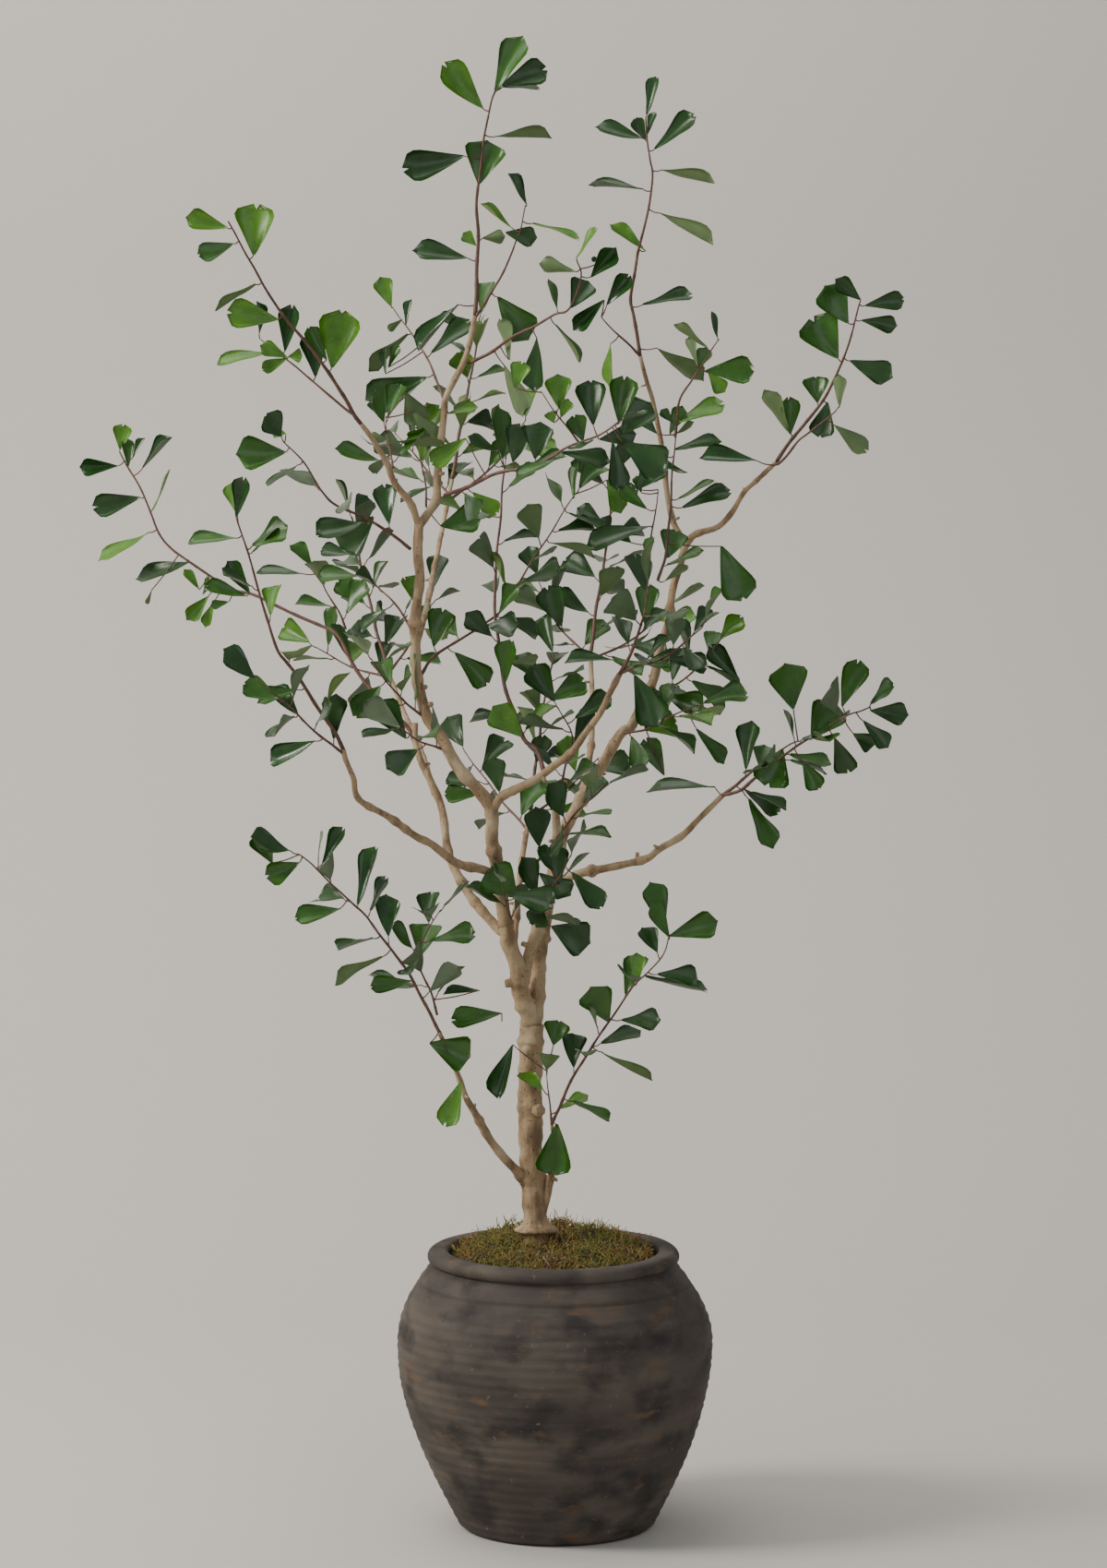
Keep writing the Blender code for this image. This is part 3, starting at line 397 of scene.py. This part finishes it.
def leaf(foot, tip, normal, width, key, curl, fold, twist, notch):
    axis = tip - foot
    length = np.linalg.norm(axis); axis = axis / length
    normal = normal - axis * (normal @ axis); normal /= np.linalg.norm(normal)
    side = np.cross(normal, axis)
    top = []
    for i in range(NU + 1):
        u = i / NU
        half = blade_width(u) * width / 2
        for j in range(NV + 1):
            s = j / NV * 2 - 1
            a = twist * u
            sd = side * math.cos(a) + normal * math.sin(a)
            nm = normal * math.cos(a) - side * math.sin(a)
            lift = fold * abs(s) ** 1.3 * half + curl * length * (u * u - u * 0.35) + 0.035 * width * math.sin(u * 7 + s * 2.5) * abs(s)
            dip = notch * length * u**6 * (1 - abs(s) * 1.2)
            top.append(foot + axis * (u * length - dip - 0.05 * length * s * s * u * u * (notch < 0.02)) + sd * s * half * (1 - 0.22 * abs(fold)) + nm * lift)
    top = np.array(top)
    grid = top.reshape(NU + 1, NV + 1, 3)
    du = np.gradient(grid, axis=0); dv = np.gradient(grid, axis=1)
    nn = np.cross(du, dv); nn /= np.maximum(np.linalg.norm(nn, axis=2), 1e-12)[:, :, None]
    if (nn.reshape(-1, 3) @ normal).sum() < 0:
        nn = -nn
    thick = 0.00022
    ridge = np.zeros((NU + 1, NV + 1)); ridge[:, NV // 2] = 0.00045
    upper = (grid + nn * (thick - ridge[:, :, None] * 0.6)).reshape(-1, 3)
    lower = (grid - nn * (thick + ridge[:, :, None])).reshape(-1, 3)
    c = NV + 1
    n0 = len(upper)
    q = [(i * c + j, i * c + j + 1, (i + 1) * c + j + 1, (i + 1) * c + j) for i in range(NU) for j in range(NV)]
    ref = np.cross(upper[q[0][1]] - upper[q[0][0]], upper[q[0][3]] - upper[q[0][0]]) @ normal
    flip = ref < 0
    tops = [f[::-1] if flip else f for f in q]
    lows = [tuple(x + n0 for x in (f if flip else f[::-1])) for f in q]
    rim = [i * c for i in range(NU + 1)] + [NU * c + j for j in range(1, c)] + [i * c + NV for i in range(NU - 1, -1, -1)] + [j for j in range(NV - 1, 0, -1)]
    sides = []
    for a, b in zip(rim, rim[1:] + rim[:1]):
        f = (a, b, b + n0, a + n0)
        sides.append(f[::-1] if not flip else f)
    heap = heaps[key]
    heap.add(np.vstack([upper, lower]), tops + lows + sides, [0] * len(tops) + [1] * (len(lows) + len(sides)))


def petiole(start, foot):
    bend = (start + foot) / 2 + np.array((0, 0, 0.0015))
    tube(twigs, smooth_line([start, bend, foot], 0.003), np.full(99, 0.00085), 6)


def petiole_line(start, foot):
    bend = (start + foot) / 2 - np.array((0, 0, 0.0015))
    pts = smooth_line([start, bend, foot], 0.0035)
    tube(twigs, pts, np.linspace(0.0009, 0.0007, len(pts)), 6)


cloud = np.vstack(lines)
cloud_uv = []
for p in cloud:
    d = p - EYE
    cloud_uv.append((W / 2 + FPX * (d @ RIGHT) / (d @ FWD), H / 2 - FPX * (d @ UP) / (d @ FWD)))
cloud_uv = np.array(cloud_uv)
front = cloud[:, 1] < 0.245
TO_EYE = -FWD
placed_uv = []
for bu, bv, tu, tv, w, kind in LEAVES:
    away = np.hypot(cloud_uv[:, 0] - bu, cloud_uv[:, 1] - bv) + np.where(front, 0, 500)
    k = int(np.argmin(away))
    carrier = cloud[k]
    depth = float(np.clip(carrier[1], -0.24, 0.26))
    foot = at(bu, bv, depth)
    length_px = math.hypot(tu - bu, tv - bv)
    lean = rng.uniform(-0.25, 0.25)
    tip = at(tu, tv, depth + lean * length_px * 0.0011)
    width = max(w, 0.55 * length_px) * 0.00112
    face = min(1.0, w * 0.00112 / width)
    axis = tip - foot; axis /= np.linalg.norm(axis)
    side = np.cross(axis, TO_EYE)
    if side[2] < 0:
        side = -side
    normal = TO_EYE * face + side * math.sqrt(max(0.0, 1 - face * face))
    if kind == "p":
        normal = -TO_EYE * max(face, 0.35) + side * math.sqrt(max(0.0, 1 - face * face))
    key = {"p": "u"}.get(kind, kind)
    leaf(foot, tip, normal, width, key, rng.uniform(-0.16, 0.12), rng.uniform(0.08, 0.5) if kind != "g" else rng.uniform(0.5, 0.9), rng.uniform(-0.3, 0.3), rng.choice((0.0, 0.0, 0.05, 0.09)))
    near = cloud[k] if away[k] < 60 else foot + np.array((0, 0, -0.01))
    petiole_line(near, foot)
    placed_uv.append(((bu + tu) / 2, (bv + tv) / 2))

# Leaves dealt along the other shoots, alternately, by a seeded rule.
BOX_LO, BOX_HI = np.array(CAD_BOX[0]), np.array(CAD_BOX[1])
for (path, first, count, light_shade_leaning), line in zip(SHOOTS, lines):
    for i in range(count):
        t = 0.16 + 0.84 * (i + rng.uniform(-0.2, 0.2)) / max(1, count - 1)
        k = int(np.clip(t * (len(line) - 1), 1, len(line) - 1))
        base = line[k]
        heading = line[k] - line[max(0, k - 3)]; heading /= np.linalg.norm(heading)
        round_way = np.cross(heading, (0.2, -1, 0.4)); round_way /= np.linalg.norm(round_way)
        spin = i * 2.4 + rng.uniform(-0.5, 0.5)
        out = round_way * math.cos(spin) + np.cross(heading, round_way) * math.sin(spin)
        out = out * 0.95 + heading * rng.uniform(0.25, 0.9) + np.array((0, 0, rng.uniform(-0.25, 0.3)))
        if i == count - 1:
            out = heading + 0.3 * rng.normal(size=3)
        out /= np.linalg.norm(out)
        foot = base + out * rng.uniform(0.008, 0.014)
        length = rng.uniform(0.040, 0.058)
        tip = foot + out * length + np.array((0, 0, rng.uniform(-0.012, 0.004)))
        if (tip > BOX_HI + 0.005).any() or (tip < BOX_LO - 0.005).any():
            continue
        normal = np.array((rng.uniform(-0.5, 0.3), rng.uniform(-0.9, 0.2), rng.uniform(0.3, 1.0)))
        # The tint pool follows the shoot's painted light-and-shade leaning.
        pool = {"d": "dddu", "u": "uduy", "y": "yyu", "g": "gdgu", "p": "ug"}[light_shade_leaning]
        leaf(foot, tip, normal, length * rng.uniform(0.62, 0.84), rng.choice(list(pool)), rng.uniform(-0.18, 0.12), rng.uniform(0.05, 0.6), rng.uniform(-0.5, 0.5), rng.choice((0.0, 0.0, 0.05, 0.09)))
        petiole_line(base, foot)

bark.piece("bark_limbs", [BARK], "bark", LIMBS)
twigs.piece("twigs", [TWIG], "young_bark", ())
for n, (key, mats) in enumerate(LEAF_LIGHT_SHADE_TINTS.items()):
    heaps[key].piece("leaves_" + {"y": "bright", "u": "mid", "d": "dark", "g": "gloss"}[key], list(mats), "foliage", FOLIAGE if n == 0 else ())

# --------------------------------------------------------------------- jar
FOOT_R, BELLY_R, BELLY_Z, NECK_R, NECK_Z, LIP_R, BORE_R, TALL = 0.118, 0.191, 0.228, 0.150, 0.320, 0.152, 0.1275, 0.340


def jar_radius(z):
    if z <= BELLY_Z:
        return FOOT_R + (BELLY_R - FOOT_R) * math.sin(math.pi / 2 * z / BELLY_Z)
    v = min(1.0, (z - BELLY_Z) / (NECK_Z - BELLY_Z))
    return NECK_R + (BELLY_R - NECK_R) * max(0.0, math.cos(math.pi / 2 * v)) ** 0.9


profile = [(0.0, 0.0), (FOOT_R - 0.004, 0.0), (FOOT_R, 0.003)]
for i in range(1, 130):
    z = 0.003 + (0.319 - 0.003) * i / 130
    ring = 0.0005 * math.sin(z * 520) + 0.00035 * math.sin(z * 1310 + 1)
    for line_z, deep in ((0.300, 0.0022), (0.2935, 0.0016), (0.262, 0.0008), (0.205, 0.0006), (0.118, 0.0006)):
        ring -= deep * math.exp(-(((z - line_z) / 0.0016) ** 2))
    profile.append((jar_radius(z) + ring, z))
for i in range(11):
    a = -math.pi / 2 + math.pi * i / 10
    profile.append((LIP_R - 0.0075 + 0.0085 * math.cos(a), 0.3315 + 0.0085 * math.sin(a)))
profile += [(BORE_R + 0.006, 0.3400), (BORE_R + 0.001, 0.3385), (BORE_R, 0.334), (BORE_R + 0.001, 0.318), (0.150, 0.290), (0.165, 0.230), (0.155, 0.130), (0.110, 0.030), (0.0, 0.018)]
SEG = 144
jar, verts, faces = Heap(), [], []
for r, z in profile:
    for j in range(SEG):
        a = 2 * math.pi * j / SEG
        wob = 1 + 0.0035 * math.sin(2 * a + z * 9) + 0.0022 * math.sin(5 * a + z * 31) + 0.0016 * math.sin(9 * a - z * 47)
        dent = 0.0022 * math.exp(-((z - 0.135) / 0.02) ** 2) * math.exp(-((a - 0.1) / 0.3) ** 2)
        verts.append(((r * wob - dent * (r > 0.1)) * math.cos(a) + 0.004 * (1 - z / TALL) * (r > 0), r * wob * math.sin(a), z))
keep = len(profile)
faces = [(i * SEG + j, i * SEG + (j + 1) % SEG, (i + 1) * SEG + (j + 1) % SEG, (i + 1) * SEG + j) for i in range(1, keep - 2) for j in range(SEG)]
verts = np.array(verts)
low, high = len(verts), len(verts) + 1
verts = np.vstack([verts, [[0.004, 0, 0]], [[0, 0, 0.018]]])
faces += [(low, SEG + (j + 1) % SEG, SEG + j) for j in range(SEG)]
faces += [(high, (keep - 2) * SEG + j, (keep - 2) * SEG + (j + 1) % SEG) for j in range(SEG)]
used = np.unique(np.array([i for f in faces for i in f]))
back = {int(o): n for n, o in enumerate(used)}
jar.add(verts[used], [tuple(back[i] for i in f) for f in faces])
jar.piece("jar", [CLAY], "terracotta", ["pot"])

soil_obj = frame["nodes"]["soil"] if isinstance(frame["nodes"], dict) else bpy.data.objects["soil"]
if not hasattr(soil_obj, "material_slots"):
    soil_obj = bpy.data.objects["soil"]
for slot_ in soil_obj.material_slots:
    slot_.material = SOIL


# -------------------------------------------------------------------- moss
def mound(x, y):
    f = min(1.0, math.hypot(x, y) / 0.1235)
    z = 0.315 + 0.036 * (1 - 0.30 * f**3) + 0.10 * y * min(1.0, 3 * (1 - f))
    z += 0.0045 * math.sin(x * 90 + 1) * math.cos(y * 80) + 0.003 * math.sin(x * 210 + y * 170)
    return z - 0.012 * f**6


bed, verts, faces, R, S = Heap(), [], [], 26, 72
for i in range(1, R + 1):
    for j in range(S):
        a = 2 * math.pi * j / S
        x, y = 0.1235 * i / R * math.cos(a), 0.1235 * i / R * math.sin(a)
        verts.append((x, y, mound(x, y) - 0.003))
for j in range(S):
    a = 2 * math.pi * j / S
    verts.append((0.1235 * math.cos(a), 0.1235 * math.sin(a), 0.3155))
verts += [(0, 0, mound(0, 0) - 0.003), (0, 0, 0.3155)]
faces = [(i * S + j, (i + 1) * S + j, (i + 1) * S + (j + 1) % S, i * S + (j + 1) % S) for i in range(R) for j in range(S)]
faces += [((R + 1) * S, j, (j + 1) % S) for j in range(S)]
faces += [((R + 1) * S + 1, R * S + (j + 1) % S, R * S + j) for j in range(S)]
bed.add(verts, faces)
bed.piece("moss_bed", [MOSS[4]], "moss", ["moss"])
strands = [Heap() for _ in range(4)]
for n in range(4200):
    a, rad = rng.uniform(0, 2 * math.pi), 0.121 * math.sqrt(rng.uniform(0.0, 1))
    x, y = rad * math.cos(a), rad * math.sin(a)
    if math.hypot(x + 0.0205, y) < 0.017:
        continue
    p = np.array((x, y, mound(x, y) - 0.004))
    way = rng.normal(size=3); way[2] = abs(way[2]) * 0.8 + 0.25; way /= np.linalg.norm(way)
    turn = rng.normal(size=3) * 0.5
    pts, step = [p], rng.uniform(0.0018, 0.0042)
    for _ in range(5):
        way = way + turn * 0.8 + rng.normal(size=3) * 0.25; way[2] -= 0.10; way /= np.linalg.norm(way)
        p = p + way * step
        if math.hypot(p[0], p[1]) > 0.1255:
            p = p * np.array((0.97, 0.97, 1))
        pts.append(p)
    patch = math.sin(x * 55 + 2) + math.cos(y * 70 + x * 30)
    group = int(np.clip(rng.normal(1.0 + 0.6 * patch, 0.8), 0, 3))
    tube(strands[group], pts, np.linspace(1, 0.45, 6) * rng.uniform(0.00045, 0.0010), 4)
for group, name in zip(strands, ("olive", "gold", "rust", "straw")):
    group.piece("moss_strands_" + name, [MOSS[("olive", "gold", "rust", "straw").index(name)]], "moss")


# ------------------------------------------------------------------- stage
def stage_mesh(name, verts, faces, material):
    me = bpy.data.meshes.new(name)
    me.from_pydata(verts, [], faces)
    me.materials.append(material)
    me.shade_smooth()
    ob = bpy.data.objects.new(name, me)
    bpy.context.scene.collection.objects.link(ob)


wall = mat("backdrop", (0.60, 0.575, 0.535), 0.9)
sweep = [(-3.5, 0.0), (1.2, 0.0)] + [(1.2 + 1.6 * math.sin(a), 1.6 - 1.6 * math.cos(a)) for a in np.linspace(0.1, math.pi / 2, 14)] + [(2.8, 6.0)]
sv = [(x, y, z - 0.0002) for y, z in sweep for x in (-6.0, 6.0)]
stage_mesh("sweep", sv, [(2 * i, 2 * i + 1, 2 * i + 3, 2 * i + 2) for i in range(len(sweep) - 1)], wall)


def lamp(name, where, aim, power, size, colour):
    li = bpy.data.lights.new(name, "AREA")
    li.energy, li.size, li.color = power, size, colour
    ob = bpy.data.objects.new(name, li)
    ob.location = where
    ob.rotation_euler = (Vector(aim) - Vector(where)).to_track_quat("-Z", "Y").to_euler()
    bpy.context.scene.collection.objects.link(ob)


lamp("key", (-3.4, -0.9, 2.9), (0, 0, 0.9), 150, 1.3, (1.0, 0.95, 0.88))
lamp("fill", (1.5, -4.5, 2.4), (0, 0, 0.9), 38, 3.5, (0.95, 0.97, 1.0))
lamp("wash", (-1.0, 0.6, 4.6), (0.3, 2.4, 1.2), 90, 3.0, (1.0, 0.97, 0.93))
world = bpy.context.scene.world or bpy.data.worlds.new("world")
bpy.context.scene.world = world
world.use_nodes = True
world.node_tree.nodes["Background"].inputs["Color"].default_value = (0.90, 0.92, 0.95, 1)
world.node_tree.nodes["Background"].inputs["Strength"].default_value = 0.42
